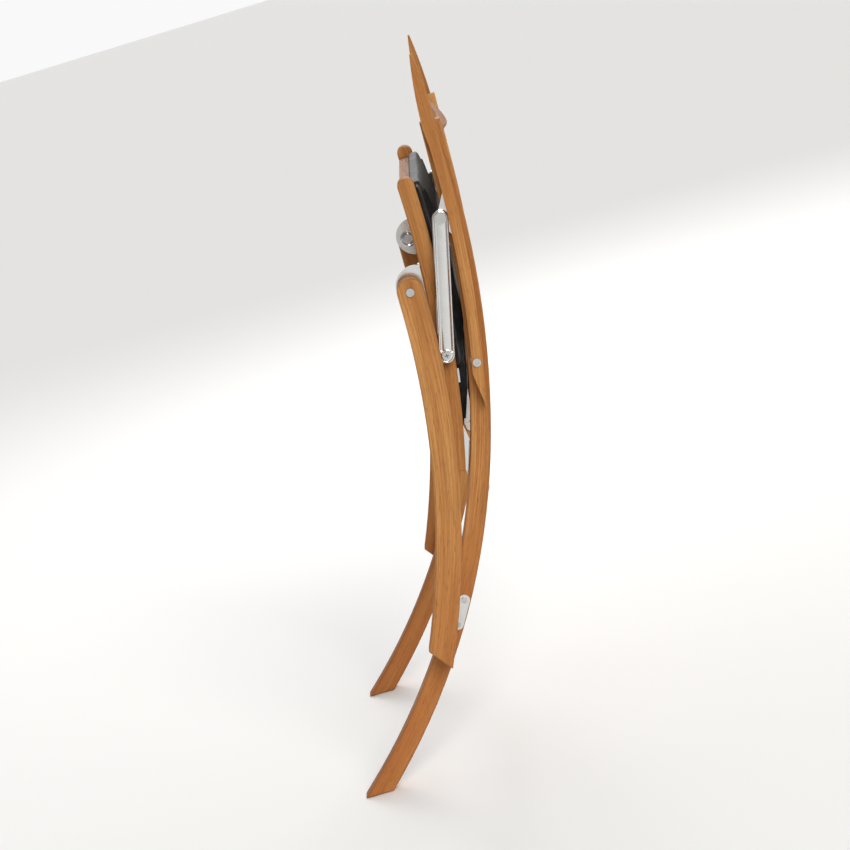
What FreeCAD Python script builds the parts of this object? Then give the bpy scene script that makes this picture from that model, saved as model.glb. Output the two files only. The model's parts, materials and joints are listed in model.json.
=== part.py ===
"""Folding armchair of oiled hardwood and polished steel, modelled folded.

Frame: X runs from the sitter's front (-X) to the back (+X), Y across the chair and Z up.
The origin is on the floor under the middle of the folded chair. Side-view places below are
measured from the front feet, which stand origin_back in front of it. The front legs and the
back are one curved upright on each side. Opened, front and rear feet stand level on Z = 0.
"""
import FreeCAD
import Part
import Sketcher
import math
import os

Vector = FreeCAD.Vector
DOC = FreeCAD.newDocument("folding_chair")
SIDES = (("left", -1), ("right", 1))

# ---------------------------------------------------------------- driving dimensions, mm and degrees
SIZES = {
    "origin_back": 170.4,
    # layers across the chair, as distances from the middle plane
    "upright_inner": 207.0, "upright_thick": 28.0,
    "rail_inner": 206.5, "rail_thick": 28.0,
    "rear_leg_inner": 253.0, "rear_leg_thick": 28.0,
    "arm_inner": 236.5, "arm_thick": 22.0,
    "strut_inner": 244.5, "strut_thick": 8.0,
    "lug_inner": 240.5, "lug_thick": 3.5,
    "leg_plate_inner": 248.5, "steel_sheet": 3.0,
    "tongue_inner": 203.0, "tongue_thick": 3.5,
    # pivots in the side view
    "arm_pivot_x": 308.8, "arm_pivot_z": 563.5,
    "seat_pivot_x": 264.2, "seat_pivot_z": 382.4,
    "strut_pivot_x": 272.4, "strut_pivot_z": 583.4,
    "leg_pivot_x": 251.0, "leg_pivot_z": 684.8,
    "seat_opens": 86.0,
    # wooden members in the side view
    "upright_depth": 28.0, "upright_foot_lean": 46.9, "upright_low_radius": 1035.0,
    "upright_mid_lean": 16.6, "upright_high_radius": 1260.0, "upright_top_lean": 2.1,
    "upright_straight": 118.0,
    "rail_depth": 23.0, "rail_rear_x": 239.4, "rail_rear_z": 420.1, "rail_rear_lean": 14.5,
    "rail_radius": 1442.0, "rail_sweep": 15.9,
    "rear_leg_depth": 36.0, "rear_leg_radius": 1233.0, "rear_leg_drop": 504.8,
    "arm_depth": 15.4, "arm_tail_x": 296.3, "arm_tail_z": 503.0, "arm_tail_lean": 13.5,
    "arm_radius": 1532.0, "arm_straight": 123.0, "arm_point": 98.0, "arm_wide": 19.5,
    # fasteners and clearances
    "bolt_radius": 4.0, "screw_radius": 3.0, "head_radius": 5.6, "head_height": 1.8,
    "run_clearance": 0.05, "open_clearance": 0.35, "gap": 0.3,
    "edge_round": 2.5, "steel_round": 0.8, "strut_eye": 10.4, "strut_recess": 2.2,
}

sheet = DOC.addObject("Spreadsheet::Sheet", "Dimensions")
for row, (alias, value) in enumerate(SIZES.items(), start=1):
    sheet.set("A%d" % row, alias)
    sheet.set("B%d" % row, str(value))
    sheet.setAlias("B%d" % row, alias)
DOC.recompute()

NODES = []


def size(alias):
    return float(sheet.get(alias))


def link(thing, prop, text):
    """Bind a property to an expression in which every alias is written as its bare name."""
    for alias in sorted(SIZES, key=len, reverse=True):
        text = text.replace("{%s}" % alias, "Dimensions.%s" % alias)
    thing.setExpression(prop, text)


# ---------------------------------------------------------------- plane geometry, points are (x, z)
def add(point, other, times=1.0):
    return (point[0] + other[0] * times, point[1] + other[1] * times)


def along(lean):
    """Unit direction that leans back from vertical by this many degrees."""
    return (math.sin(math.radians(lean)), math.cos(math.radians(lean)))


def back(lean):
    """Unit normal of that direction, pointing to the back."""
    return (math.cos(math.radians(lean)), -math.sin(math.radians(lean)))


def turned(point, centre, degrees):
    """The point after a turn that brings the top of the chair to the front."""
    c, s = math.cos(math.radians(degrees)), math.sin(math.radians(degrees))
    dx, dz = point[0] - centre[0], point[1] - centre[1]
    return (centre[0] + dx * c - dz * s, centre[1] + dx * s + dz * c)


class Centreline:
    """A path of tangent arcs that starts at a point with a lean and straightens as it rises."""

    def __init__(self, start, lean, arcs, straight=0.0):
        self.stations = []
        point = start
        for radius, end_lean in arcs:
            self.stations.append((point, lean, radius, end_lean))
            point = add(add(point, back(end_lean), radius), back(lean), -radius)
            lean = end_lean
        self.arc_end, self.lean = point, lean
        self.end = add(point, along(lean), straight)
        self.straight = straight

    def edge(self, offset):
        """Arcs and line at this distance behind the centreline, from the bottom to the top."""
        pieces = []
        for point, lean, radius, end_lean in self.stations:
            centre = add(point, back(lean), -radius)
            reach = radius + offset
            middle = (lean + end_lean) / 2
            pieces.append(("arc", add(centre, back(lean), reach), add(centre, back(middle), reach),
                           add(centre, back(end_lean), reach)))
        if self.straight:
            start = add(self.arc_end, back(self.lean), offset)
            pieces.append(("line", start, add(self.end, back(self.lean), offset)))
        return pieces

    def at_height(self, height):
        """Centre point and lean of the path at a height within its arcs."""
        for point, lean, radius, end_lean in self.stations:
            sine = math.sin(math.radians(lean)) - (height - point[1]) / radius
            here = math.degrees(math.asin(sine))
            if here >= end_lean - 1e-6:
                return add(add(point, back(lean), -radius), back(here), radius), here
        return add(self.arc_end, along(self.lean), (height - self.arc_end[1])), self.lean


def backwards(pieces):
    turned_round = []
    for piece in reversed(pieces):
        turned_round.append((piece[0],) + tuple(reversed(piece[1:])))
    return turned_round


def join(pieces):
    """Close the gaps between neighbouring pieces, and between the last and the first, with lines."""
    whole = []
    for piece, following in zip(pieces, pieces[1:] + pieces[:1]):
        whole.append(piece)
        if math.dist(piece[-1], following[1]) > 1e-6:
            whole.append(("line", piece[-1], following[1]))
    return whole


def polygon(points):
    return [("line", p, q) for p, q in zip(points, points[1:] + points[:1])]


def slot(start, end, start_radius, end_radius):
    """Outline of two round ends joined by their outer tangents."""
    length = math.dist(start, end)
    direction = ((end[0] - start[0]) / length, (end[1] - start[1]) / length)
    side = (direction[1], -direction[0])
    tilt = (start_radius - end_radius) / length
    flat = math.sqrt(1 - tilt * tilt)

    def rim(centre, radius, sign):
        normal = (side[0] * flat * sign + direction[0] * tilt, side[1] * flat * sign + direction[1] * tilt)
        return add(centre, normal, radius)

    return [("line", rim(start, start_radius, 1), rim(end, end_radius, 1)),
            ("arc", rim(end, end_radius, 1), add(end, direction, end_radius), rim(end, end_radius, -1)),
            ("line", rim(end, end_radius, -1), rim(start, start_radius, -1)),
            ("arc", rim(start, start_radius, -1), add(start, direction, -start_radius),
             rim(start, start_radius, 1))]


def board(centre, lean, depth, height):
    """Rectangle about a centre, with its height along the lean."""
    corners = []
    for across, up in ((-0.5, -0.5), (0.5, -0.5), (0.5, 0.5), (-0.5, 0.5)):
        corners.append(add(add(centre, back(lean), across * depth), along(lean), up * height))
    return polygon(corners)


# ---------------------------------------------------------------- solids
def side_plane(body):
    for feature in body.Origin.OriginFeatures:
        if feature.Role == "XZ_Plane":
            return feature
    raise RuntimeError("no XZ plane")


def draw(body, name, outline, holes=(), offset=""):
    """A sketch in the side plane: x is the chair's X and y its Z. Holes are (centre, radius text)."""
    sketch = body.newObject("Sketcher::SketchObject", name)
    sketch.AttachmentSupport = [(side_plane(body), "")]
    sketch.MapMode = "FlatFace"
    if offset:
        link(sketch, "AttachmentOffset.Base.z", offset)
    for piece in outline:
        ends = [Vector(point[0], point[1], 0) for point in piece[1:]]
        sketch.addGeometry(Part.LineSegment(*ends) if piece[0] == "line" else Part.Arc(*ends), False)
    for centre, radius in holes:
        circle = Part.Circle(Vector(centre[0], centre[1], 0), Vector(0, 0, 1), 5.0)
        number = sketch.addGeometry(circle, False)
        index = sketch.addConstraint(Sketcher.Constraint("Radius", number, 5.0))
        link(sketch, "Constraints[%d]" % index, radius)
    return sketch


def plate(label, outline, low, thick, holes=(), round_edges=""):
    """A flat piece padded across the chair from the plane y = low, both given as expressions."""
    body = DOC.addObject("PartDesign::Body", label)
    body.Label = label
    sketch = draw(body, label + "_outline", outline, holes)
    pad = body.newObject("PartDesign::Pad", label + "_pad")
    pad.Profile = sketch
    link(pad, "Length", thick)
    link(body, "Placement.Base.x", "-{origin_back}")
    link(body, "Placement.Base.y", "%s + %s" % (low, thick))
    DOC.recompute()
    if round_edges:
        rims = ["Edge%d" % (i + 1) for i, edge in enumerate(pad.Shape.Edges)
                if edge.BoundBox.YLength < 1e-4 and not is_hole(edge, holes)]
        fillet = body.newObject("PartDesign::Fillet", label + "_round")
        fillet.Base = (pad, rims)
        link(fillet, "Radius", round_edges)
        DOC.recompute()
    NODES.append(body)
    return body


def is_hole(edge, holes):
    curve = edge.Curve
    if not isinstance(curve, Part.Circle):
        return False
    return any(math.dist((curve.Center.x, curve.Center.z), centre) < 0.01 for centre, _ in holes)


def recess(body, name, outline, depth, on_far_face, thick, holes=()):
    """Sink an outline into one broad face of a plate: the far face has the higher y."""
    before = body.Shape.Volume
    sketch = draw(body, name + "_outline", outline, holes, "" if on_far_face else thick)
    pocket = body.newObject("PartDesign::Pocket", name)
    pocket.Profile = sketch
    pocket.Reversed = on_far_face
    link(pocket, "Length", depth)
    DOC.recompute()
    if not body.Shape.Volume < before - 1.0:
        raise RuntimeError(name + " cut nothing")


def across(side, inner, thick):
    """Expression for the lower y of a piece that lies this far out on one side."""
    return inner if side > 0 else "-(%s) - (%s)" % (inner, thick)


def pin(name, place, low, length, radius):
    """A round bar along Y through a point of the side view."""
    bar = DOC.addObject("Part::Cylinder", name)
    link(bar, "Radius", radius)
    link(bar, "Height", length)
    bar.Placement = FreeCAD.Placement(Vector(0, 0, place[1]), FreeCAD.Rotation(Vector(1, 0, 0), -90))
    link(bar, "Placement.Base.x", "%r - {origin_back}" % place[0])
    link(bar, "Placement.Base.y", low)
    return bar


def turned_part(label, stages, socket_at=None):
    """A turned piece: coaxial bars fused. Each stage is (place, low, length, radius)."""
    bars = [pin("%s_stage%d" % (label, i), *stage) for i, stage in enumerate(stages)]
    fused = DOC.addObject("Part::MultiFuse", label + "_fused")
    fused.Shapes = bars
    if socket_at is None:
        return fused
    cut = DOC.addObject("Part::Cut", label)
    cut.Base = fused
    cut.Tool = hex_socket(label, *socket_at)
    return cut


def hex_socket(label, place, low):
    """Hexagon socket, sunk into a head from either side of the given middle plane."""
    prism = DOC.addObject("Part::Prism", label + "_socket")
    prism.Polygon = 6
    link(prism, "Circumradius", "{screw_radius}")
    link(prism, "Height", "2 * {head_height}")
    prism.Placement = FreeCAD.Placement(Vector(0, 0, place[1]), FreeCAD.Rotation(Vector(1, 0, 0), -90))
    link(prism, "Placement.Base.x", "%r - {origin_back}" % place[0])
    link(prism, "Placement.Base.y", "%s - {head_height}" % low)
    return prism


def group(label, members):
    whole = DOC.addObject("Part::Compound", label)
    whole.Links = members
    whole.Label = label
    NODES.append(whole)
    return whole


# ---------------------------------------------------------------- side view of the whole chair
ARM_PIVOT = (size("arm_pivot_x"), size("arm_pivot_z"))
SEAT_PIVOT = (size("seat_pivot_x"), size("seat_pivot_z"))
STRUT_LOW = (size("strut_pivot_x"), size("strut_pivot_z"))
LEG_PIVOT = (size("leg_pivot_x"), size("leg_pivot_z"))
# The seat, strut, armrest and upright make a parallelogram, so the strut stays at one angle.
STRUT_TOP = (ARM_PIVOT[0] + STRUT_LOW[0] - SEAT_PIVOT[0], ARM_PIVOT[1] + STRUT_LOW[1] - SEAT_PIVOT[1])

UPRIGHT = Centreline((0.0, 0.0), size("upright_foot_lean"),
                     [(size("upright_low_radius"), size("upright_mid_lean")),
                      (size("upright_high_radius"), size("upright_top_lean"))], size("upright_straight"))
RAIL = Centreline((size("rail_rear_x"), size("rail_rear_z")), size("rail_rear_lean"),
                  [(size("rail_radius"), size("rail_rear_lean") - size("rail_sweep"))])
LEG_FOOT_LEAN = math.degrees(math.asin(size("rear_leg_drop") / size("rear_leg_radius")))
LEG_FOOT = (LEG_PIVOT[0] - size("rear_leg_radius") * (1 - math.cos(math.radians(LEG_FOOT_LEAN))),
            LEG_PIVOT[1] - size("rear_leg_drop"))
REAR_LEG = Centreline(LEG_FOOT, LEG_FOOT_LEAN, [(size("rear_leg_radius"), 0.0)])
ARM = Centreline((size("arm_tail_x"), size("arm_tail_z")), size("arm_tail_lean"),
                 [(size("arm_radius"), 0.0)], size("arm_straight"))

# Opened, the rear foot has to reach the floor. That fixes how far the rear leg turns.
LEG_PIVOT_OPEN = turned(LEG_PIVOT, SEAT_PIVOT, size("seat_opens"))
LEG_LENGTH = math.dist(LEG_PIVOT, LEG_FOOT)
LEG_POINTS = math.degrees(math.atan2(LEG_FOOT[1] - LEG_PIVOT[1], LEG_FOOT[0] - LEG_PIVOT[0]))
LEG_TURN = -math.degrees(math.asin(LEG_PIVOT_OPEN[1] / LEG_LENGTH)) - LEG_POINTS


def floor_cut(centreline, offset, foot_direction):
    """Where an edge's first arc, run on straight, meets the foot's cut through the centreline's start."""
    point, lean, _, _ = centreline.stations[0]
    edge_start = add(point, back(lean), offset)
    run = along(lean)
    normal = (-foot_direction[1], foot_direction[0])
    gap = (point[0] - edge_start[0]) * normal[0] + (point[1] - edge_start[1]) * normal[1]
    return add(edge_start, run, gap / (run[0] * normal[0] + run[1] * normal[1]))


def footed_bar(centreline, depth, foot_direction, top_pieces):
    """Outline of a curved leg with a flat cut foot. The cut takes the low side into the arc."""
    front = centreline.edge(-depth / 2)
    rear = centreline.edge(depth / 2)
    low_front = floor_cut(centreline, -depth / 2, foot_direction)
    low_rear = floor_cut(centreline, depth / 2, foot_direction)
    if low_front[1] > front[0][1][1]:
        kind, _, middle, end = front[0]
        front[0] = (kind, low_front, middle, end)
        if low_rear[1] < rear[0][1][1]:
            rear.insert(0, ("line", low_rear, rear[0][1]))
    else:
        kind, _, middle, end = rear[0]
        rear[0] = (kind, low_rear, middle, end)
        front.insert(0, ("line", low_front, front[0][1]))
    return join(rear + top_pieces + backwards(front))


def band(centreline, low, high, front, rear):
    """Outline of a layer that follows a curved piece between two heights and two offsets."""
    heights = (low, (low + high) / 2, high)
    edges = []
    for offset in (front, rear):
        points = []
        for height in heights:
            centre, lean = centreline.at_height(height)
            points.append(add(centre, back(lean), offset))
        edges.append(("arc",) + tuple(points))
    return join([edges[1]] + backwards([edges[0]]))


def boss(body, name, outline, holes, offset, length, towards_high):
    """Pad another outline onto a plate, from a plane this far below its high face."""
    sketch = draw(body, name + "_outline", outline, holes, offset)
    pad = body.newObject("PartDesign::Pad", name)
    pad.Profile = sketch
    pad.Reversed = towards_high
    link(pad, "Length", length)
    DOC.recompute()
    return pad


def circle(centre, radius):
    left, right = (centre[0] - radius, centre[1]), (centre[0] + radius, centre[1])
    top, bottom = (centre[0], centre[1] + radius), (centre[0], centre[1] - radius)
    return [("arc", right, top, left), ("arc", left, bottom, right)]


# ---------------------------------------------------------------- uprights, rails and slats of the frame
FLOOR = (1.0, 0.0)
HINGE_SCREW = UPRIGHT.at_height(430.0)[0]
HINGE_PLATE = slot(SEAT_PIVOT, HINGE_SCREW, 7.5, 9.0)
STUD_REACH = 7.1
STUD_HEAD = 2.8


def make_uprights():
    top = [("line", add(UPRIGHT.end, back(UPRIGHT.lean), size("upright_depth") / 2),
            add(UPRIGHT.end, back(UPRIGHT.lean), -size("upright_depth") / 2))]
    outline = footed_bar(UPRIGHT, size("upright_depth"), FLOOR, top)
    for name, side in SIDES:
        upright = plate("upright_" + name, outline, across(side, "{upright_inner}", "{upright_thick}"),
                        "{upright_thick}", [(ARM_PIVOT, "{bolt_radius}")], "{edge_round}")
        recess(upright, "hinge_recess_" + name, HINGE_PLATE, "{steel_sheet}", side < 0, "{upright_thick}")


def make_hinge_plates():
    """Riveted steel plates, let into the uprights, with the stud that the seat swings on."""
    for name, side in SIDES:
        hinge = plate("hinge_plate_" + name, HINGE_PLATE, across(side, "{upright_inner}", "{steel_sheet}"),
                      "{steel_sheet}")
        start = "{steel_sheet}" if side > 0 else "0"
        boss(hinge, "stud_" + name, circle(SEAT_PIVOT, size("bolt_radius")), (), start,
             str(STUD_REACH), side < 0)
        rise = STUD_REACH - STUD_HEAD
        head_start = "{steel_sheet} + %s" % rise if side > 0 else "-%s" % rise
        boss(hinge, "stud_head_" + name, circle(SEAT_PIVOT, 7.5), (), head_start, str(STUD_HEAD), side < 0)


def make_crest_rail():
    """A bowed board in a plane that falls to the back, so the middle dips behind the ends."""
    width, bow, thick = 18.0, 24.0, 11.0
    reach = size("upright_inner")
    body = DOC.addObject("PartDesign::Body", "crest_rail")
    sketch = body.newObject("Sketcher::SketchObject", "crest_outline")
    flat = [feature for feature in body.Origin.OriginFeatures if feature.Role == "XY_Plane"][0]
    sketch.AttachmentSupport = [(flat, "")]
    sketch.MapMode = "FlatFace"
    corners = [Vector(0, -reach, 0), Vector(0, reach, 0), Vector(width, reach, 0), Vector(width, -reach, 0)]
    sketch.addGeometry(Part.Arc(corners[0], Vector(bow, 0, 0), corners[1]), False)
    sketch.addGeometry(Part.LineSegment(corners[1], corners[2]), False)
    sketch.addGeometry(Part.Arc(corners[2], Vector(width + bow, 0, 0), corners[3]), False)
    sketch.addGeometry(Part.LineSegment(corners[3], corners[0]), False)
    pad = body.newObject("PartDesign::Pad", "crest_pad")
    pad.Profile = sketch
    pad.Length = thick
    DOC.recompute()
    fillet = body.newObject("PartDesign::Fillet", "crest_round")
    fillet.Base = (pad, ["Edge%d" % (i + 1) for i, edge in enumerate(pad.Shape.Edges)
                         if edge.BoundBox.YLength > reach])
    link(fillet, "Radius", "{edge_round}")
    tilt = FreeCAD.Rotation(Vector(0, 1, 0), 48.0)
    body.Placement = FreeCAD.Placement(Vector(326.2 - size("origin_back"), 0, 888.0), tilt)
    body.Label = "crest_rail"
    NODES.append(body)


def make_frame_rails():
    """Straight boards between the uprights: three back slats and the stretcher of the front legs."""
    span = ("-{upright_inner}", "2 * {upright_inner}")
    for name, height, depth, tall in (("back_slat_low", 610.0, 12.0, 56.0), ("back_slat_middle", 695.0, 12.0, 56.0),
                                      ("back_slat_high", 780.0, 12.0, 56.0), ("back_rail", 486.0, 20.0, 36.0),
                                      ("leg_stretcher", 227.0, 20.0, 34.0)):
        centre, lean = UPRIGHT.at_height(height)
        plate(name, board(centre, lean, depth, tall), *span, round_edges="")


def make_stretcher_plates():
    """Thin steel plates on the outside of the front legs, under the screws of the stretcher."""
    low, high = UPRIGHT.at_height(212.0)[0], UPRIGHT.at_height(243.0)[0]
    low, high = add(low, (4.0, -2.0)), add(high, (4.0, -2.0))
    screws = []
    for name, side in SIDES:
        plate("stretcher_plate_" + name, slot(low, high, 8.0, 8.0),
              across(side, "{upright_inner} + {upright_thick}", "1.2"), "1.2",
              [(low, "{screw_radius}"), (high, "{screw_radius}")])
        for place in (low, high):
            label = "stretcher_screw_%s_%d" % (name, place is high)
            shaft = across(side, "{upright_inner} + 2", "{upright_thick} - 0.8")
            cap = across(side, "{upright_inner} + {upright_thick} + 1.2", "1")
            screws.append(turned_part(label, [(place, shaft, "{upright_thick} - 0.8", "{screw_radius}"),
                                              (place, cap, "1", "4.5")]))
    group("stretcher_screws", screws)


def make_arm_bolts():
    bolts, washers = [], []
    reach = "{arm_inner} + {arm_thick} + {gap} - {upright_inner} - 5"
    for name, side in SIDES:
        shaft = (ARM_PIVOT, across(side, "{upright_inner} + 5", reach), reach, "{bolt_radius}")
        outer = "{arm_inner} + {arm_thick} + {gap}"
        cap = (ARM_PIVOT, across(side, outer, "{head_height}"), "{head_height}", "{head_radius}")
        face = "%s(%s + {head_height})" % ("" if side > 0 else "-", outer)
        bolts.append(turned_part("arm_bolt_" + name, [shaft, cap], (ARM_PIVOT, face)))
        ring = pin("arm_ring_" + name, ARM_PIVOT,
                   across(side, "{upright_inner} + {upright_thick}", "1.2"), "1.2", "8")
        hole = pin("arm_ring_hole_" + name, ARM_PIVOT,
                   across(side, "{upright_inner} + {upright_thick} - 1", "4"), "4", "{bolt_radius}")
        washer = DOC.addObject("Part::Cut", "arm_washer_" + name)
        washer.Base, washer.Tool = ring, hole
        washers.append(washer)
    group("arm_bolts", bolts)
    group("arm_washers", washers)


# ---------------------------------------------------------------- seat
def make_seat_rails():
    half = size("rail_depth") / 2
    nose = [("arc", add(RAIL.end, back(RAIL.lean), half), add(RAIL.end, along(RAIL.lean), half),
             add(RAIL.end, back(RAIL.lean), -half))]
    outline = join(RAIL.edge(half) + nose + backwards(RAIL.edge(-half)))
    for name, side in SIDES:
        plate("seat_rail_" + name, outline, across(side, "{rail_inner}", "{rail_thick}"), "{rail_thick}",
              [(STRUT_LOW, "{screw_radius}")], "{edge_round}")


def make_seat_frame():
    """Cross rails and the thin panel between the rails, and the pad on it."""
    span = ("-{rail_inner}", "2 * {rail_inner}")
    inside = ("-{tongue_inner} + 2", "2 * {tongue_inner} - 4")
    half = size("rail_depth") / 2
    plate("seat_front_rail", band(RAIL, 776.0, 812.0, -half + 1.0, -2.0), *span)
    plate("seat_rear_rail", band(RAIL, 424.0, 452.0, -half + 1.0, half - 3.0), *inside)
    plate("seat_panel", band(RAIL, 452.5, 812.0, -2.0, 4.0), *inside)
    rear, crown, front = [(RAIL.at_height(height), rise) for height, rise in
                          ((470.0, half + 1.0), (680.0, half + 17.0), (816.0, half + 8.0))]
    top = [add(place[0], back(place[1]), rise) for place, rise in (rear, crown, front)]
    under = band(RAIL, 470.0, 816.0, 4.3, half)
    pad = plate("seat_pad", join([("arc",) + tuple(top)] + [under[2]]), *inside)
    boss(pad, "seat_pad_flap", band(RAIL, 562.0, 812.0, half + 0.3, half + 5.5), (),
         "-({rail_inner} + {rail_thick} - 3) + {tongue_inner} - 2",
         "2 * ({rail_inner} + {rail_thick} - 3)", False)
    for name, side in SIDES:
        plate("rail_cap_" + name, band(RAIL, 541.0, 560.0, half, half + 2.4),
              across(side, "{rail_inner} + 3", "{rail_thick} - 6"), "{rail_thick} - 6")


def make_seat_tongues():
    """Steel straps on the inside of the rails that reach back to the hinge studs."""
    screws = []
    high = RAIL.at_height(480.0)[0]
    near = RAIL.at_height(456.0)[0]
    for name, side in SIDES:
        plate("seat_tongue_" + name, slot(SEAT_PIVOT, high, 11.0, 10.0),
              across(side, "{tongue_inner}", "{tongue_thick}"), "{tongue_thick}",
              [(SEAT_PIVOT, "{bolt_radius} + {run_clearance}"), (high, "2.2"), (add(near, (3.0, 0.0)), "2.2")])
        for number, place in enumerate((high, add(near, (3.0, 0.0)))):
            shaft = across(side, "{tongue_inner}", "20")
            cap = across(side, "{tongue_inner} - 1.6", "1.6")
            screws.append(turned_part("tongue_screw_%s_%d" % (name, number),
                                      [(place, shaft, "20", "2.2"), (place, cap, "1.6", "4.2")]))
    group("tongue_screws", screws)


def make_leg_brackets():
    """Pressed steel brackets below the rails: a flange on the rail and a D-shaped cheek."""
    cheek_half, cheek_reach = 27.0, 18.5
    half = size("rail_depth") / 2
    centre, lean = RAIL.at_height(LEG_PIVOT[1])
    face = add(centre, back(lean), -half - 0.2)
    high, low = add(face, along(lean), cheek_half), add(face, along(lean), -cheek_half)
    cheek = [("arc", low, (LEG_PIVOT[0] - cheek_reach, LEG_PIVOT[1]), high), ("line", high, low)]
    inside = [add(point, back(lean), -size("steel_sheet")) for point in (low, high)]
    flange = polygon([add(low, along(lean), 3.0), add(high, along(lean), -3.0),
                      add(inside[1], along(lean), -3.0), add(inside[0], along(lean), 3.0)])
    screws = []
    for name, side in SIDES:
        bracket = plate("leg_bracket_" + name, cheek, across(side, "{leg_plate_inner}", "{steel_sheet}"),
                        "{steel_sheet}", [(LEG_PIVOT, "{bolt_radius}")])
        start = "{steel_sheet}" if side > 0 else "0"
        boss(bracket, "leg_flange_" + name, flange, (), start, "{leg_plate_inner} - {rail_inner} - 2", side < 0)
        for number, shift in enumerate((-15.0, 15.0)):
            place = add(add(face, back(lean), -size("steel_sheet")), along(lean), shift)
            middle = side * (size("rail_inner") + size("rail_thick") / 2)
            head = DOC.addObject("Part::Cylinder", "flange_screw_%s_%d" % (name, number))
            link(head, "Radius", "4.2")
            link(head, "Height", "1.6")
            head.Placement = FreeCAD.Placement(Vector(place[0] - size("origin_back"), middle, place[1]),
                                               FreeCAD.Rotation(Vector(0, 1, 0), lean - 90))
            screws.append(head)
    group("flange_screws", screws)


def make_leg_bolts():
    bolts, washers = [], []
    outer = "{rear_leg_inner} + {rear_leg_thick} + {gap}"
    for name, side in SIDES:
        shaft = (LEG_PIVOT, across(side, "{leg_plate_inner}", outer + " - {leg_plate_inner}"),
                 outer + " - {leg_plate_inner}", "{bolt_radius}")
        cap = (LEG_PIVOT, across(side, outer, "{head_height}"), "{head_height}", "{head_radius}")
        nut = (LEG_PIVOT, across(side, "{leg_plate_inner} - 3", "3"), "3", "7")
        sign = "" if side > 0 else "-"
        face = "%s(%s + {head_height})" % (sign, outer)
        bolts.append(turned_part("leg_bolt_" + name, [shaft, cap, nut], (LEG_PIVOT, face)))
        ring = pin("leg_ring_" + name, LEG_PIVOT,
                   across(side, "{leg_plate_inner} + {steel_sheet}", "1.2"), "1.2", "9")
        hole = pin("leg_ring_hole_" + name, LEG_PIVOT,
                   across(side, "{leg_plate_inner} + {steel_sheet} - 1", "4"), "4", "{bolt_radius}")
        washer = DOC.addObject("Part::Cut", "leg_washer_" + name)
        washer.Base, washer.Tool = ring, hole
        washers.append(washer)
    group("leg_bolts", bolts)
    group("leg_washers", washers)


def make_strut_screws():
    screws, spacers = [], []
    outer = "{strut_inner} + {strut_thick} + {gap}"
    for name, side in SIDES:
        reach = outer + " - {rail_inner} - 8"
        shaft = (STRUT_LOW, across(side, "{rail_inner} + 8", reach), reach, "{screw_radius}")
        cap = (STRUT_LOW, across(side, outer, "2"), "2", "5.4")
        screws.append(turned_part("strut_screw_" + name, [shaft, cap]))
        length = "{strut_inner} - {gap} - {rail_inner} - {rail_thick}"
        sleeve = pin("spacer_body_" + name, STRUT_LOW,
                     across(side, "{rail_inner} + {rail_thick}", length), length, "7")
        hole = pin("spacer_hole_" + name, STRUT_LOW, across(side, "{rail_inner} + {rail_thick} - 1", "14"),
                   "14", "{screw_radius}")
        spacer = DOC.addObject("Part::Cut", "spacer_" + name)
        spacer.Base, spacer.Tool = sleeve, hole
        spacers.append(spacer)
    group("strut_screws", screws)
    group("strut_spacers", spacers)


# ---------------------------------------------------------------- rear legs
def make_rear_legs():
    half = size("rear_leg_depth") / 2
    crown = [("arc", add(LEG_PIVOT, (half, 0.0)), add(LEG_PIVOT, (0.0, half)), add(LEG_PIVOT, (-half, 0.0)))]
    foot = (math.cos(math.radians(-LEG_TURN)), math.sin(math.radians(-LEG_TURN)))
    outline = footed_bar(REAR_LEG, size("rear_leg_depth"), foot, crown)
    bushes = []
    for name, side in SIDES:
        low = across(side, "{rear_leg_inner}", "{rear_leg_thick}")
        plate("rear_leg_" + name, outline, low, "{rear_leg_thick}", [(LEG_PIVOT, "6")], "{edge_round}")
        sleeve = pin("bush_body_" + name, LEG_PIVOT, low, "{rear_leg_thick}", "6")
        hole = pin("bush_hole_" + name, LEG_PIVOT, low, "{rear_leg_thick}", "{bolt_radius} + {run_clearance}")
        bush = DOC.addObject("Part::Cut", "bush_" + name)
        bush.Base, bush.Tool = sleeve, hole
        bushes.append(bush)
    group("rear_leg_bushes", bushes)
    span = ("-{rear_leg_inner}", "2 * {rear_leg_inner}")
    for name, height, shift, depth, tall in (("rear_leg_rail", 600.0, -2.0, 20.0, 30.0),
                                             ("stop_rail", 438.0, -5.5, 14.0, 28.0)):
        centre, lean = REAR_LEG.at_height(height)
        plate(name, board(add(centre, back(lean), shift), lean, depth, tall), *span)


# ---------------------------------------------------------------- armrests and struts
LUG_EYE = 9.0
LUG_INSIDE = 8.0


def lug_outline():
    edge_low, lean = ARM.at_height(738.0)
    edge_high, lean_high = ARM.at_height(796.0)
    front = -size("arm_depth") / 2
    return join([("arc", add(STRUT_TOP, (0.0, LUG_EYE)), add(STRUT_TOP, (-LUG_EYE, 0.0)),
                  add(STRUT_TOP, (0.0, -LUG_EYE))),
                 ("line", add(edge_low, back(lean), front), add(edge_low, back(lean), front + LUG_INSIDE)),
                 ("line", add(edge_high, back(lean_high), front + LUG_INSIDE),
                  add(edge_high, back(lean_high), front))])


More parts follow.
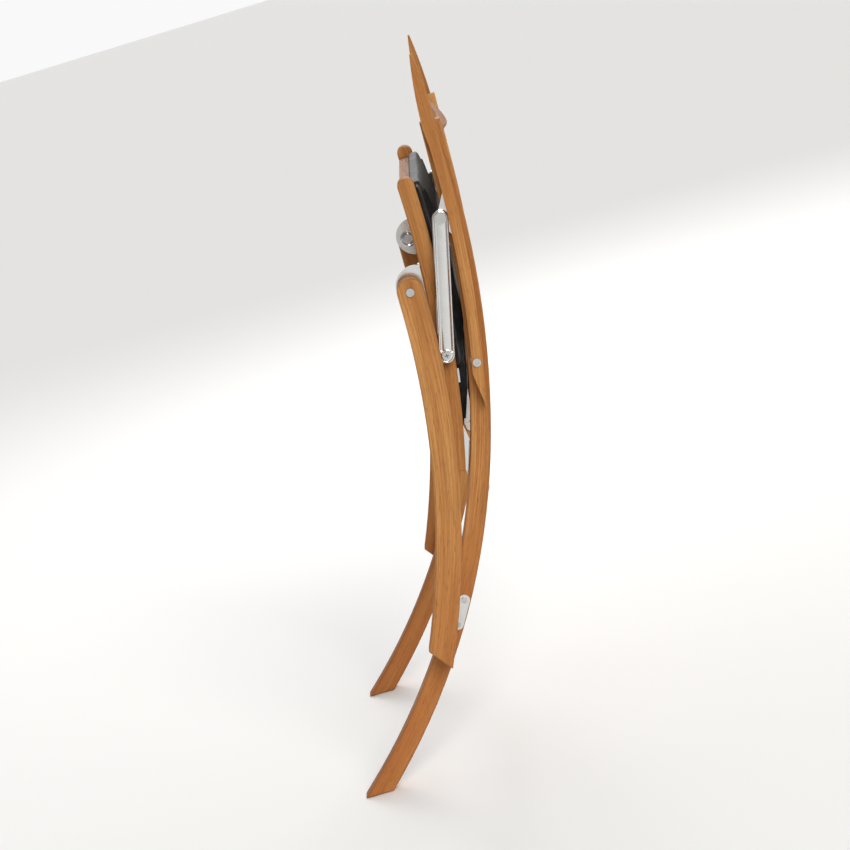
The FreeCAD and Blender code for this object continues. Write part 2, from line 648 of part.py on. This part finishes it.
def arm_outline():
    """A slim blade: a long point at the front end, and a tail that runs out to the back edge."""
    half = size("arm_depth") / 2
    wide = size("arm_wide") / 2
    shoulder = ARM.end[1] - size("arm_point")
    tip = ARM.end[0] + 2.6
    rear = ARM.edge(half)[:1]
    rear.append(("line", rear[0][-1], (ARM.end[0] + wide, shoulder)))
    rear.append(("arc", (ARM.end[0] + wide, shoulder), (ARM.end[0] + wide - 1.6, shoulder + 50.0),
                 (tip + 1.3, ARM.end[1])))
    front = [("arc", (tip - 1.3, ARM.end[1]), (ARM.end[0] - wide + 4.0, shoulder + 52.0),
              (ARM.end[0] - wide, shoulder))]
    tail, lean = ARM.at_height(548.0)
    middle, middle_lean = ARM.at_height(700.0)
    front.append(("arc", add(ARM.arc_end, back(ARM.lean), -half), add(middle, back(middle_lean), -half),
                  add(tail, back(lean), -half)))
    return join(rear + front)


def make_armrests():
    for name, side in SIDES:
        arm = plate("armrest_" + name, arm_outline(), across(side, "{arm_inner}", "{arm_thick}"), "{arm_thick}",
                    [(ARM_PIVOT, "{bolt_radius} + {run_clearance}")])
        outward = "{arm_inner} + {arm_thick} - {lug_inner} - {lug_thick}"
        depth = outward if side > 0 else "{lug_inner} - {arm_inner}"
        before = arm.Shape.Volume
        sketch = draw(arm, "lug_slot_outline_" + name, lug_outline(), (), depth)
        slot_cut = arm.newObject("PartDesign::Pocket", "lug_slot_" + name)
        slot_cut.Profile = sketch
        slot_cut.Reversed = True
        link(slot_cut, "Length", "{lug_thick}")
        DOC.recompute()
        if not arm.Shape.Volume < before - 100.0:
            raise RuntimeError("the lug slot cut nothing")
        plate("arm_lug_" + name, lug_outline(), across(side, "{lug_inner}", "{lug_thick}"), "{lug_thick}",
              [(STRUT_TOP, "{bolt_radius}")])
        outer = "{strut_inner} + {strut_thick} + {gap}"
        shaft = (STRUT_TOP, across(side, "{lug_inner}", outer + " - {lug_inner}"), outer + " - {lug_inner}",
                 "{bolt_radius}")
        cap = (STRUT_TOP, across(side, outer, "1.5"), "1.5", "8.2")
        strut_pin = turned_part("pin_" + name, [shaft, cap])
        strut_pin.Label = "strut_pin_" + name
        NODES.append(strut_pin)


def make_struts():
    panel_top, panel_low = 28.0, 24.0
    length = math.dist(STRUT_TOP, STRUT_LOW)
    line = ((STRUT_LOW[0] - STRUT_TOP[0]) / length, (STRUT_LOW[1] - STRUT_TOP[1]) / length)
    panel = slot(add(STRUT_TOP, line, panel_top), add(STRUT_LOW, line, -panel_low), 6.6, 6.6)
    for name, side in SIDES:
        strut = plate("strut_" + name, slot(STRUT_TOP, STRUT_LOW, size("strut_eye"), size("strut_eye") + 0.7),
                      across(side, "{strut_inner}", "{strut_thick}"), "{strut_thick}",
                      [(STRUT_TOP, "{bolt_radius} + {open_clearance}"),
                       (STRUT_LOW, "{screw_radius} + {run_clearance}")], "{steel_round}")
        recess(strut, "strut_panel_" + name, panel, "{strut_recess}", side > 0, "{strut_thick}")


def main():
    make_uprights()
    make_hinge_plates()
    make_crest_rail()
    make_frame_rails()
    make_stretcher_plates()
    make_arm_bolts()
    make_seat_rails()
    make_seat_frame()
    make_seat_tongues()
    make_leg_brackets()
    make_leg_bolts()
    make_strut_screws()
    make_rear_legs()
    make_armrests()
    make_struts()
    DOC.recompute()
    for thing in DOC.Objects:
        if "Invalid" in thing.State or "Error" in thing.State:
            raise RuntimeError("%s failed: %s" % (thing.Label, thing.State))
    os.makedirs("parts", exist_ok=True)
    for node in NODES:
        if node.Shape.isNull() or not node.Shape.isValid():
            raise RuntimeError("%s has no valid shape" % node.Label)
        node.Shape.exportStep("parts/%s.step" % node.Label)
    print("%d nodes, rear legs turn %.3f degrees, strut top at %.2f, %.2f"
          % (len(NODES), LEG_TURN, STRUT_TOP[0], STRUT_TOP[1]))


main()
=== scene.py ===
import json
import math

import bmesh
import bpy
from mathutils import Matrix, Vector, noise
from mathutils.bvhtree import BVHTree


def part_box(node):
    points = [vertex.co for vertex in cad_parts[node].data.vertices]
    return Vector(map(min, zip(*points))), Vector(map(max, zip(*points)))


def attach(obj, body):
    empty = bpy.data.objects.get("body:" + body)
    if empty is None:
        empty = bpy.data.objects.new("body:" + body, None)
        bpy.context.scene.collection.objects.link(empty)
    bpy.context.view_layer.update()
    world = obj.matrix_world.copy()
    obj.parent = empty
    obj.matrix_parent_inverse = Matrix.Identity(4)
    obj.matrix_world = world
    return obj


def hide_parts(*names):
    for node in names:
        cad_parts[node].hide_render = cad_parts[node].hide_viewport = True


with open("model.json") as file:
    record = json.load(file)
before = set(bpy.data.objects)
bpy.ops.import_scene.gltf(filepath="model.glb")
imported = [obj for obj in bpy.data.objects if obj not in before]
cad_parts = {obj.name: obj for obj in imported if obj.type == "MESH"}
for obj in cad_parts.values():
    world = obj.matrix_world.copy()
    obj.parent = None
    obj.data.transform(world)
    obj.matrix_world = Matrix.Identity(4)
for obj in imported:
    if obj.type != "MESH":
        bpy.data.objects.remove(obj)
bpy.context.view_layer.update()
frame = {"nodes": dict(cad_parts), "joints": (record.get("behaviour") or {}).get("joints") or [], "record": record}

NODES = frame["nodes"]

# The folded chair leans back by this much in the frame of the opened chair.
FOLDED_LEAN = math.radians(16.74)


# Camera, light and floor

def make_camera():
    """A long lens at the chair's left side, upright to the folded chair and looking a little down."""
    distance = 3.44
    pitch = math.radians(12.35)
    turn = math.radians(0.66)
    target = Vector((0.0328, 0.0, 0.446))
    upright = Vector((math.sin(FOLDED_LEAN), 0.0, math.cos(FOLDED_LEAN)))
    across = Vector((math.cos(FOLDED_LEAN), 0.0, -math.sin(FOLDED_LEAN)))
    level = Vector((0.0, 1.0, 0.0)) * math.cos(turn) + across * math.sin(turn)
    ahead = level * math.cos(pitch) - upright * math.sin(pitch)
    right = ahead.cross(upright).normalized()
    camera = bpy.data.objects.new("camera", bpy.data.cameras.new("camera"))
    camera.data.lens = 98.9
    camera.data.sensor_width = 36.0
    camera.matrix_world = Matrix.Translation(target - ahead * distance) @ Matrix(
        (right, right.cross(ahead), -ahead)).transposed().to_4x4()
    bpy.context.collection.objects.link(camera)
    bpy.context.scene.camera = camera


def make_light(name, place, aim, size, power, colour):
    light = bpy.data.objects.new(name, bpy.data.lights.new(name, "AREA"))
    light.data.shape = "RECTANGLE"
    light.data.size, light.data.size_y = size
    light.data.energy = power
    light.data.color = colour
    light.location = place
    light.rotation_euler = (Vector(aim) - Vector(place)).to_track_quat("-Z", "Y").to_euler()
    bpy.context.collection.objects.link(light)


def make_studio():
    """A bright backdrop behind the chair's far side, a dimmer room and a broad soft key light."""
    bpy.context.scene.view_settings.view_transform = "Standard"
    world = bpy.data.worlds.new("studio")
    world.use_nodes = True
    tree = world.node_tree
    there = tree.nodes.new("ShaderNodeTexCoord")
    parts = tree.nodes.new("ShaderNodeSeparateXYZ")
    backdrop = tree.nodes.new("ShaderNodeMapRange")
    tree.links.new(there.outputs["Generated"], parts.inputs[0])
    tree.links.new(parts.outputs["Y"], backdrop.inputs["Value"])
    tree.links.new(backdrop.outputs[0], tree.nodes["Background"].inputs["Strength"])
    for name, value in (("From Min", 0.1), ("From Max", 0.85), ("To Min", 0.30), ("To Max", 0.95)):
        backdrop.inputs[name].default_value = value
    tree.nodes["Background"].inputs["Color"].default_value = (1.0, 1.0, 1.0, 1.0)
    bpy.context.scene.world = world
    middle = (0.0, 0.0, 0.5)
    key = bpy.data.objects.new("key", bpy.data.lights.new("key", "SUN"))
    key.data.energy = 2.3
    key.data.angle = math.radians(35.0)
    key.data.color = (1.0, 0.98, 0.95)
    key.rotation_euler = Vector((-0.35, 0.90, -0.62)).to_track_quat("-Z", "Y").to_euler()
    bpy.context.collection.objects.link(key)
    make_light("back", (0.6, 3.0, 2.6), middle, (2.0, 1.4), 50.0, (1.0, 1.0, 1.0))
    mesh = bpy.data.meshes.new("floor")
    reach = 60.0
    corners = [(-reach, -reach, 0.0), (reach, -reach, 0.0), (reach, reach, 0.0), (-reach, reach, 0.0)]
    mesh.from_pydata(corners, [], [(0, 1, 2, 3)])
    floor = bpy.data.objects.new("floor", mesh)
    floor.location.z = -0.001
    shade = Shader("pale_floor")
    shade.surface.inputs["Base Color"].default_value = (0.92, 0.92, 0.91, 1.0)
    shade.surface.inputs["Roughness"].default_value = 0.7
    mesh.materials.append(shade.material)
    bpy.context.collection.objects.link(floor)


# Materials

class Shader:
    """A new material, with short ways to add nodes to it."""

    def __init__(self, name):
        self.material = bpy.data.materials.new(name)
        self.material.use_nodes = True
        self.tree = self.material.node_tree
        self.surface = self.tree.nodes["Principled BSDF"]

    def add(self, kind, sockets=(), **settings):
        node = self.tree.nodes.new("ShaderNode" + kind)
        for key, value in settings.items():
            setattr(node, key, value)
        for key, value in dict(sockets).items():
            if isinstance(value, bpy.types.NodeSocket):
                self.tree.links.new(value, node.inputs[key])
            else:
                node.inputs[key].default_value = value
        return node

    def join(self, socket, name):
        self.tree.links.new(socket, self.surface.inputs[name])

    def place(self, scale, lean=0.0, offset=(0.0, 0.0, 0.0)):
        """Object space turned so that a member's length lies along Z, then stretched."""
        there = self.add("TexCoord").outputs["Object"]
        turned = self.add("Mapping", {"Vector": there, "Rotation": (0.0, -lean, 0.0), "Location": offset})
        return self.add("Mapping", {"Vector": turned.outputs[0], "Scale": scale}).outputs[0]

    def noise(self, vector, scale, detail=4.0, roughness=0.55, distortion=0.0):
        return self.add("TexNoise", {"Vector": vector, "Scale": scale, "Detail": detail,
                                     "Roughness": roughness, "Distortion": distortion}).outputs["Fac"]

    def span(self, value, low, high, to_low=0.0, to_high=1.0):
        return self.add("MapRange", {"Value": value, "From Min": low, "From Max": high,
                                     "To Min": to_low, "To Max": to_high}).outputs["Result"]

    def mix(self, amount, first, second):
        node = self.add("Mix", data_type="RGBA")
        for name, value in ((0, amount), (6, first), (7, second)):
            if isinstance(value, bpy.types.NodeSocket):
                self.tree.links.new(value, node.inputs[name])
            else:
                node.inputs[name].default_value = value if name == 0 else (*value, 1.0)
        return node.outputs[2]

    def math(self, operation, first, second):
        node = self.add("Math", operation=operation)
        for index, value in enumerate((first, second)):
            if isinstance(value, bpy.types.NodeSocket):
                self.tree.links.new(value, node.inputs[index])
            else:
                node.inputs[index].default_value = value
        return node.outputs[0]

    def bump(self, height, strength, distance):
        bump = self.add("Bump", {"Height": height, "Strength": strength, "Distance": distance})
        self.join(bump.outputs["Normal"], "Normal")

    def edges(self, radius):
        """One on a sharp edge and zero on a face."""
        rounded = self.add("Bevel", {"Radius": radius}, samples=6).outputs["Normal"]
        flat = self.add("NewGeometry").outputs["Normal"]
        across = self.add("VectorMath", operation="DOT_PRODUCT")
        self.tree.links.new(rounded, across.inputs[0])
        self.tree.links.new(flat, across.inputs[1])
        return self.span(across.outputs["Value"], 1.0, 0.8)


HONEY = (0.54, 0.265, 0.086)
AMBER = (0.37, 0.145, 0.040)
RUSSET = (0.34, 0.100, 0.024)
BROWN = (0.115, 0.036, 0.011)


def surface(mesh):
    """A search tree of a mesh's faces."""
    points = [vertex.co for vertex in mesh.vertices]
    return BVHTree.FromPolygons(points, [tuple(face.vertices) for face in mesh.polygons])


def middle_at(node, share):
    """The middle of a member's depth at a share of its height."""
    low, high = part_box(node)
    tree = surface(NODES[node].data)
    height = low.z + (high.z - low.z) * share
    width = (low.y + high.y) / 2
    front = tree.ray_cast(Vector((low.x - 0.1, width, height)), Vector((1, 0, 0)))[0]
    rear = tree.ray_cast(Vector((high.x + 0.1, width, height)), Vector((-1, 0, 0)))[0]
    return Vector(((front.x + rear.x) / 2, height))


def bend(node):
    """Centre and radius of the circle through a curved member's middle line."""
    first, second, third = (middle_at(node, share) for share in (0.12, 0.5, 0.88))
    u, v = second - first, third - first
    double = 2 * (u.x * v.y - u.y * v.x)
    centre = first + Vector(((v.y * u.length_squared - u.y * v.length_squared) / double,
                             (u.x * v.length_squared - v.x * u.length_squared) / double))
    return centre, (first - centre).length


def bent_place(shade, node):
    """Depth, width and length along a curved member, for grain that follows it."""
    centre, radius = bend(node)
    there = shade.add("TexCoord").outputs["Object"]
    moved = shade.add("VectorMath", operation="SUBTRACT")
    shade.tree.links.new(there, moved.inputs[0])
    moved.inputs[1].default_value = (centre.x, 0.0, centre.y)
    parts = shade.add("SeparateXYZ", {0: moved.outputs[0]}).outputs
    flat = shade.add("CombineXYZ", {"X": parts["X"], "Z": parts["Z"]}).outputs[0]
    depth = shade.add("VectorMath", {0: flat}, operation="LENGTH").outputs["Value"]
    side = 1.0 if centre.x > 0 else -1.0
    angle = shade.math("ARCTAN2", parts["Z"], shade.math("MULTIPLY", parts["X"], -side))
    length = shade.math("MULTIPLY", angle, radius)
    return shade.add("CombineXYZ", {"X": depth, "Y": parts["Y"], "Z": length}).outputs[0]


def wood(name, node, number, crosswise=False, tone=0.0):
    """Oiled hardwood: straight fibres, broad bands, fine pores and paler rubbed edges."""
    shade = Shader(name)
    offset = (0.37 * number, 0.23 * number, 0.11 * number)
    there = shade.add("TexCoord").outputs["Object"]
    run = there if crosswise else bent_place(shade, node)

    def grain(along):
        stretch = (1.0, along, 1.0) if crosswise else (1.0, 1.0, along)
        return shade.add("Mapping", {"Vector": run, "Scale": stretch, "Location": offset}).outputs[0]

    bands = shade.noise(grain(0.03), 46.0, 3.0, 0.5, 0.3)
    fibres = shade.noise(grain(0.02), 520.0, 3.0, 0.6)
    streaks = shade.noise(grain(0.012), 190.0, 2.0, 0.6)
    pores = shade.noise(grain(0.05), 1300.0, 1.0)
    patches = shade.noise(there, 6.0, 2.0)
    height = shade.add("SeparateXYZ", {0: there}).outputs["Z"]
    colour = shade.mix(shade.span(bands, 0.38, 0.62), AMBER, HONEY)
    colour = shade.mix(shade.span(fibres, 0.40, 0.72, 0.0, 0.45), colour, BROWN)
    colour = shade.mix(shade.span(streaks, 0.56, 0.72, 0.0, 0.5), colour, RUSSET)
    colour = shade.mix(shade.span(patches, 0.42, 0.68, 0.0, 0.3), colour, AMBER)
    # Darker towards the bottom of the chair.
    colour = shade.mix(shade.span(height, 0.45, 0.08, 0.0, 0.6), colour, RUSSET)
    colour = shade.mix(shade.span(pores, 0.62, 0.70, 0.0, 0.45), colour, BROWN)
    # tone pulls the whole part towards dark brown; on the crosspieces between the side frames it is painted shade,
    # and the plywood panel is pulled further.
    if tone:
        colour = shade.mix(tone, colour, BROWN)
    colour = shade.mix(shade.math("MULTIPLY", shade.edges(0.0012), 0.16), colour, HONEY)
    shade.join(colour, "Base Color")
    shade.join(shade.span(fibres, 0.3, 0.7, 0.50, 0.66), "Roughness")
    shade.surface.inputs["Specular IOR Level"].default_value = 0.12
    relief = shade.math("SUBTRACT", fibres, shade.span(pores, 0.62, 0.72))
    shade.bump(relief, 0.25, 0.0004)
    return shade.material


def steel(name, colour, smooth, rough):
    """Polished stainless steel with faint hairlines, a few duller patches and a painted highlight on its edges."""
    shade = Shader(name)
    hairlines = shade.noise(shade.place((1.0, 1.0, 0.02), FOLDED_LEAN), 1500.0, 2.0)
    patches = shade.noise(shade.place((1.0, 1.0, 1.0)), 28.0, 3.0)
    tint = shade.mix(shade.span(patches, 0.35, 0.7, 0.0, 0.35), colour, tuple(0.8 * part for part in colour))
    # The edges are pulled halfway to near white: a painted highlight along every rim.
    tint = shade.mix(shade.math("MULTIPLY", shade.edges(0.0005), 0.5), tint, (0.95, 0.95, 0.94))
    shade.join(tint, "Base Color")
    shade.surface.inputs["Metallic"].default_value = 1.0
    shade.join(shade.span(patches, 0.3, 0.7, smooth, rough), "Roughness")
    shade.bump(hairlines, 0.06, 0.0001)
    return shade.material


def leather(name):
    """Black leather: a pebbled grain, soft creases and a painted highlight on their high spots."""
    shade = Shader(name)
    place = shade.place((1.0, 1.0, 1.0))
    cells = shade.add("TexVoronoi", {"Vector": place, "Scale": 520.0}, feature="DISTANCE_TO_EDGE")
    grain = shade.span(cells.outputs["Distance"], 0.0, 0.22)
    creases = shade.noise(place, 46.0, 5.0, 0.62, 0.8)
    # Greyer where the creases rise: a painted highlight on the high spots.
    painted_highlight = shade.span(creases, 0.5, 0.78, 0.0, 0.6)
    shade.join(shade.mix(painted_highlight, (0.010, 0.010, 0.011), (0.050, 0.050, 0.053)), "Base Color")
    shade.join(shade.span(creases, 0.3, 0.8, 0.46, 0.66), "Roughness")
    shade.surface.inputs["Specular IOR Level"].default_value = 0.25
    shade.surface.inputs["Sheen Weight"].default_value = 0.08
    height = shade.math("ADD", shade.math("MULTIPLY", grain, 0.35), creases)
    shade.bump(height, 0.55, 0.0012)
    return shade.material


def nylon(name):
    shade = Shader(name)
    speckle = shade.noise(shade.place((1.0, 1.0, 1.0)), 700.0, 2.0)
    shade.join(shade.mix(speckle, (0.012, 0.012, 0.012), (0.030, 0.030, 0.031)), "Base Color")
    shade.join(shade.span(speckle, 0.3, 0.7, 0.45, 0.6), "Roughness")
    shade.bump(speckle, 0.15, 0.0003)
    return shade.material


def dress(node, material):
    mesh = NODES[node].data
    mesh.materials.clear()
    mesh.materials.append(material)


MEMBERS = [part + side for part in ("upright_", "seat_rail_", "rear_leg_", "armrest_")
           for side in ("left", "right")]
CROSSPIECES = ("crest_rail", "back_slat_low", "back_slat_middle", "back_slat_high", "back_rail",
               "leg_stretcher", "seat_front_rail", "seat_rear_rail", "rear_leg_rail", "stop_rail")


def dress_nodes():
    for number, node in enumerate(MEMBERS):
        dress(node, wood("wood_" + node, node, number))
    for number, node in enumerate(CROSSPIECES, len(MEMBERS)):
        # The crosspieces stand between the side frames and get a quarter of painted shade.
        dress(node, wood("wood_" + node, node, number, crosswise=True, tone=0.25))
    dress("seat_panel", wood("plywood", "seat_panel", 31, crosswise=True, tone=0.6))
    for part in frame["record"]["subparts"]:
        if part["material_slot"] in FINISHES:
            dress(part["node"], FINISHES[part["material_slot"]])


# Pressed and turned steel detail

def pivot(name):
    """Where a joint turns at rest."""
    return Vector(next(joint["pos_m"] for joint in frame["joints"] if joint["name"] == name))


def place_piece(name, mesh, material, body="seat"):
    piece = bpy.data.objects.new(name, mesh)
    bpy.context.collection.objects.link(piece)
    piece.data.materials.clear()
    piece.data.materials.append(material)
    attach(piece, body)
    return piece


def mesh_of(name, rings, closed):
    """A mesh of equal rings of points, each joined to the next, with a face at one or both ends."""
    count = len(rings[0])
    last = (len(rings) - 1) * count
    faces = []
    for start in range(0, last, count):
        for step in range(count):
            near, far = start + step, start + (step + 1) % count
            faces.append((near, far, far + count, near + count))
    faces.append(tuple(range(last, last + count)))
    if closed:
        faces.append(tuple(reversed(range(count))))
    mesh = bpy.data.meshes.new(name)
    mesh.from_pydata([point for ring in rings for point in ring], [], faces)
    smoothing = bmesh.new()
    smoothing.from_mesh(mesh)
    bmesh.ops.recalc_face_normals(smoothing, faces=smoothing.faces)
    smoothing.to_mesh(mesh)
    smoothing.free()
    mesh.shade_smooth()
    return mesh


def slot_ring(low, high, radius, across, count=20):
    """Points round a slot in the side plane, between two eye centres, at a place across the chair."""
    along = math.atan2(high.z - low.z, high.x - low.x)
    points = []
    for centre, start in ((high, along - math.pi / 2), (low, along + math.pi / 2)):
        for step in range(count + 1):
            angle = start + math.pi * step / count
            points.append((centre.x + radius * math.cos(angle), across, centre.z + radius * math.sin(angle)))
    return points


EDGE_ROUND = 0.0002


def make_strut(side):
    """A pressed strut: a rounded raised rim, a sunk panel, a dished disc above and a boss below."""
    node = "strut_" + side
    low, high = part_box(node)
    sign = -1.0 if side == "left" else 1.0
    face = low.y if side == "left" else high.y
    back = high.y if side == "left" else low.y
    lower = pivot(node + "_swing")
    pin_low, pin_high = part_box("strut_pin_" + side)
    upper = (pin_low + pin_high) / 2
    eye = lower.z - low.z
    profile = ((0.0, 0.0014), (0.0006, 0.0004), (0.0016, 0.0), (0.0026, 0.0002), (0.0032, 0.0010),
               (0.0038, 0.0019), (0.0048, 0.0022), (0.0060, 0.0020), (0.0085, 0.0016))
    rings = [slot_ring(lower, upper, eye - 0.0004, back)]
    rings += [slot_ring(lower, upper, eye - inset, face - sign * depth) for inset, depth in profile]
    strut = place_piece("pressed_" + node, mesh_of(node, rings, True), FINISHES["polished_steel"],
                        node)
    strut.modifiers.new("edges", "BEVEL").width = EDGE_ROUND
    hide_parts(node)
    dish = ((0.0082, 0.0022), (0.0082, 0.0007), (0.0076, 0.0003), (0.0068, 0.0003), (0.0062, 0.0009),
            (0.0040, 0.0016), (0.0015, 0.0019))
    place_piece("dish_" + side, turned(upper, face, sign, dish), FINISHES["polished_steel"],
                node)
    boss = ((0.0084, 0.0022), (0.0082, 0.0006), (0.0076, 0.0002), (0.0060, 0.0002))
    place_piece("boss_" + side, turned(lower, face, sign, boss), FINISHES["polished_steel"],
                node)


def make_screw_cross(side):
    """The cross recess in the head of the screw at the strut's lower eye, drawn as a thin black cross flush with
    the head: painted shade for the recess.
    """
    low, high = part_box("strut_screws")
    sign = -1.0 if side == "left" else 1.0
    face = low.y if side == "left" else high.y
    centre = pivot("strut_%s_swing" % side)
    arm, half = 0.0026, 0.0005
    sunk, proud = -0.0005, 0.00004
    quarter = ((arm, -half), (arm, half), (half, half))
    quarter_turns = ((1, 0), (0, 1), (-1, 0), (0, -1))
    outline = [(x * c - z * d, x * d + z * c) for c, d in quarter_turns for x, z in quarter]
    rings = [[(centre.x + x, face + sign * rise, centre.z + z) for x, z in outline] for rise in (sunk, proud)]
    # The black nylon finish here is painted shade in the recess.
    place_piece("cross_recess_" + side, mesh_of("cross", rings, True), FINISHES["bush"], "seat")


def make_bracket_rings():
    """A ring pressed round the bolt on the inner face of each leg bracket's plate."""
    bolt = pivot("rear_leg_fold")
    off_bolt = 0.009
    for side, sign in (("left", -1.0), ("right", 1.0)):
        node = "leg_bracket_" + side
        beside = Vector((bolt.x + off_bolt, 0.0, bolt.z))
        face = surface(NODES[node].data).ray_cast(beside, Vector((0.0, sign, 0.0)))[0].y
        profile = ((0.0128, -0.0004), (0.0124, 0.0008), (0.0114, 0.0012), (0.0104, 0.0008), (0.0096, 0.0001))
        ring = turned(bolt, face, sign, profile)
        place_piece("pressed_ring_" + side, ring, FINISHES["polished_steel"], "seat")


def turned(centre, face, sign, profile, count=40):
    """A disc turned about a line across the chair: radii, and depths under its face."""
    rings = [[(centre.x + radius * math.cos(math.tau * step / count), face - sign * depth,
               centre.z + radius * math.sin(math.tau * step / count)) for step in range(count)]
             for radius, depth in profile]
    return mesh_of("turned", rings, False)


# The padded seat

def evaluated(piece):
    return bpy.data.meshes.new_from_object(piece.evaluated_get(bpy.context.evaluated_depsgraph_get()))


def apply_modifiers(piece):
    mesh = evaluated(piece)
    piece.modifiers.clear()
    piece.data = mesh


# Heights of the two seams sewn across the pad, and how deep and wide they pull it in.
SEAMS = (0.572, 0.694)
SEAM_DEPTH = 0.0042
SEAM_WIDTH = 0.0075
PUFF = 0.0050
VOXEL = 0.004
# Half the width of the padded part, inside the flaps that lap over the rails.
PAD_HALF = 0.199


def plump(pad):
    """Puffs the top of the pad between its seams, pulls the seams down and creases it a little."""
    low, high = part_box("seat_pad")
    lines = (low.z, *SEAMS, high.z)
    # Every normal is read before any point moves, because each move makes the mesh work them all out again.
    facing = [vertex.normal.x for vertex in pad.data.vertices]
    for vertex, upward in zip(pad.data.vertices, facing):
        width, height = abs(vertex.co.y), vertex.co.z
        if upward < 0.2 or width > PAD_HALF:
            continue
        edge = min(1.0, (PAD_HALF - width) / 0.03)
        puff = 1.0 - sum(math.exp(-((height - line) / 0.035) ** 2) for line in lines)
        pull = sum(math.exp(-((height - seam) / SEAM_WIDTH) ** 2) for seam in SEAMS)
        crease = noise.noise(Vector((9.0, 55.0 * vertex.co.y, 24.0 * height)))
        vertex.co.x += edge * (PUFF * max(0.0, puff) - SEAM_DEPTH * pull + 0.0012 * crease)


def make_pad():
    black = leather("black_leather")
    pad = place_piece("padded_seat", NODES["seat_pad"].data.copy(), black)
    remesh = pad.modifiers.new("remesh", "REMESH")
    remesh.mode = "VOXEL"
    remesh.voxel_size = VOXEL
    apply_modifiers(pad)
    smooth = pad.modifiers.new("smooth", "SMOOTH")
    smooth.iterations = 3
    pad.modifiers.new("subdivide", "SUBSURF").levels = 1
    apply_modifiers(pad)
    plump(pad)
    pad.data.shade_smooth()
    pad.data.materials.clear()
    pad.data.materials.append(black)
    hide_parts("seat_pad")
    make_seams(pad, black)


PIPING_RADIUS = 0.0019
THREAD_RADIUS = 0.0005


def make_seams(pad, black):
    """Piping along both long edges, and stitches beside it and across each seam."""
    low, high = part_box("seat_pad")
    top = surface(pad.data)

    def over(width, height, proud):
        hit, normal = top.ray_cast(Vector((high.x + 0.1, width, height)), Vector((-1.0, 0.0, 0.0)))[:2]
        return hit + normal * proud

    thread = nylon("black_thread")
    end_margin, piping_out, stitch_out = 0.014, 0.1965, 0.187
    heights = spread(low.z + end_margin, high.z - end_margin, 60)
    widths = spread(-0.188, 0.188, 68)
    for side, sign in (("left", -1.0), ("right", 1.0)):
        piping = [over(sign * piping_out, height, 0.0002) for height in heights]
        place_piece("piping_" + side, tube("piping", [piping], PIPING_RADIUS), black)
        row = [over(sign * stitch_out, height, 0.0) for height in heights]
        place_piece("edge_stitches_" + side, tube("stitches", stitches(row), THREAD_RADIUS), thread)
    rows = [[over(width, seam, 0.0) for width in widths] for seam in SEAMS]
    crossing = stitches(rows[0]) + stitches(rows[1])
    place_piece("cross_stitches", tube("stitches", crossing, THREAD_RADIUS), thread)


def spread(first, last, parts):
    return [first + (last - first) * step / parts for step in range(parts + 1)]


def stitches(row):
    """Short threads along a row of points, with a gap between each and the next."""
    return [[first.lerp(second, 0.12), first.lerp(second, 0.88)] for first, second in zip(row, row[1:])]


def tube(name, lines, radius):
    curve = bpy.data.curves.new(name, "CURVE")
    curve.dimensions = "3D"
    curve.bevel_depth = radius
    curve.bevel_resolution = 3
    curve.use_fill_caps = True
    for line in lines:
        spline = curve.splines.new("POLY")
        spline.points.add(len(line) - 1)
        for point, place in zip(spline.points, line):
            point.co = (*place, 1.0)
    return curve


make_camera()
make_studio()
FINISHES = {"polished_steel": steel("polished_steel", (0.74, 0.74, 0.73), 0.10, 0.26),
            "fasteners": steel("turned_steel", (0.60, 0.60, 0.59), 0.22, 0.36),
            "bush": nylon("black_nylon")}
dress_nodes()
for chair_side in ("left", "right"):
    make_strut(chair_side)
    make_screw_cross(chair_side)
make_bracket_rings()
make_pad()
